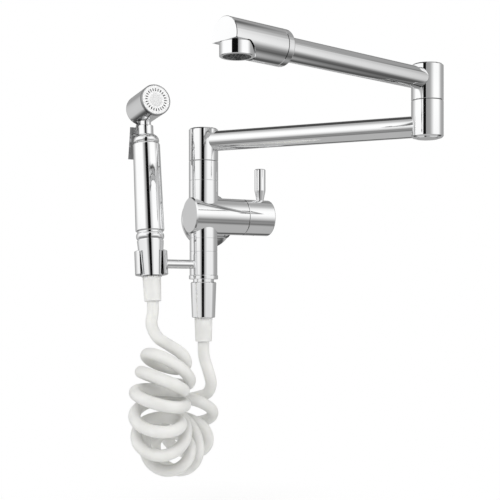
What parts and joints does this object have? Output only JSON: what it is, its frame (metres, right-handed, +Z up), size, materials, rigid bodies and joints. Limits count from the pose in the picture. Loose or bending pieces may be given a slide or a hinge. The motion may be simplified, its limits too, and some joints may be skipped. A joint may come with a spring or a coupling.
{
  "type": "wall-mounted kitchen tap",
  "caption": "Wall-mounted kitchen tap with a double-jointed swivel spout, a side lever valve and a trigger hand spray on a coiled hose.",
  "frame": {"origin": "on the axis of the wall inlet thread, in the plane of the finished wall", "axes": "+Z up, +X to the right along the wall as seen from the kitchen, +Y into the wall"},
  "size_m": [0.2429, 0.3114, 0.3689],
  "materials": {
    "chrome": "polished chrome plating",
    "plain_brass": "turned brass, unplated",
    "ceramic": null,
    "black_rubber": "moulded nitrile rubber",
    "dark_plastic": "moulded acetal",
    "white_hose": "translucent greyish white polyurethane",
    "spray_white": "moulded pale grey plastic",
    "spray_grey": "satin metallic grey plastic"
  },
  "bodies": {
    "tap": {"inlet_connector": "chrome", "wall_flange": "chrome", "inlet_washer": "black_rubber", "union_nut": "chrome", "valve_body": "chrome", "cartridge_seal": "black_rubber", "cartridge_housing": "plain_brass", "fixed_disc": "ceramic", "cartridge_nut": "plain_brass", "swivel_base_ring": "chrome", "swivel_washer": "dark_plastic", "outlet_ring": "chrome", "holder_collar": "chrome", "lock_ring": "chrome", "holder_rod": "chrome", "holder_cup": "chrome", "hose_nut": "chrome", "hose_washer": "black_rubber", "tap_hose_sleeve": "white_hose", "hose_lead_tap": "white_hose", "hose_coil": "white_hose", "hose_lead_spray": "white_hose"},
    "handle": {"handle_hub": "chrome", "lever_pin": "chrome", "handle_screw": "plain_brass", "spindle": "plain_brass", "moving_disc": "ceramic"},
    "inner_arm": {"arm_stem": "plain_brass", "arm_stem_seals": "black_rubber", "arm_knuckle": "chrome", "inner_tube": "chrome", "elbow_lower": "chrome", "elbow_plug": "chrome", "elbow_washer": "dark_plastic"},
    "outer_arm": {"elbow_upper": "chrome", "elbow_stem": "plain_brass", "elbow_seals": "black_rubber", "elbow_clip": "plain_brass", "outer_tube": "chrome", "spout_collar": "chrome", "spout_head": "chrome", "aerator_housing": "chrome", "aerator_washer": "black_rubber", "aerator_insert": "dark_plastic"},
    "sprayer": {"sprayer_cone": "chrome", "spray_hose_sleeve": "white_hose", "sprayer_grip": "chrome", "sprayer_neck": "chrome", "sprayer_head": "chrome", "face_ring": "chrome", "spray_plate": "spray_white", "spray_centre": "spray_grey", "trigger_pin": "chrome"},
    "trigger": {"trigger": "chrome"},
    "plunger": {"plunger": "chrome"}
  },
  "joints": [
    {"name": "handle_turn", "type": "hinge", "parent": "tap", "child": "handle", "pos_m": [0.027, -0.052, 0], "axis": [1, 0, 0], "range_deg": [0, 90]},
    {"name": "arm_swivel", "type": "hinge", "parent": "tap", "child": "inner_arm", "pos_m": [-0.028, -0.052, 0.06], "axis": [0, 0, 1], "range_deg": [-80, 60]},
    {"name": "elbow_swivel", "type": "hinge", "parent": "inner_arm", "child": "outer_arm", "pos_m": [0.10471, -0.22621, 0.0926], "axis": [0, 0, 1], "range_deg": [-66, 180]},
    {"name": "sprayer_lift", "type": "slide", "parent": "tap", "child": "sprayer", "axis": [0, 0.1045, 0.9945], "range_m": [0, 0.08]},
    {"name": "trigger_squeeze", "type": "hinge", "parent": "sprayer", "child": "trigger", "pos_m": [-0.082, -0.02807, 0.09015], "axis": [-1, 0, 0], "range_deg": [0, 9], "stiffness_Nm_per_rad": 0.6, "springref_deg": -2.86},
    {"name": "plunger_push", "type": "slide", "parent": "sprayer", "child": "plunger", "axis": [0, -0.9945, 0.1045], "range_m": [0, 0.0022]}
  ],
  "couplings": [
    {"joint": "plunger_push", "follows": "trigger_squeeze", "m_per_rad": 0.0135}
  ]
}
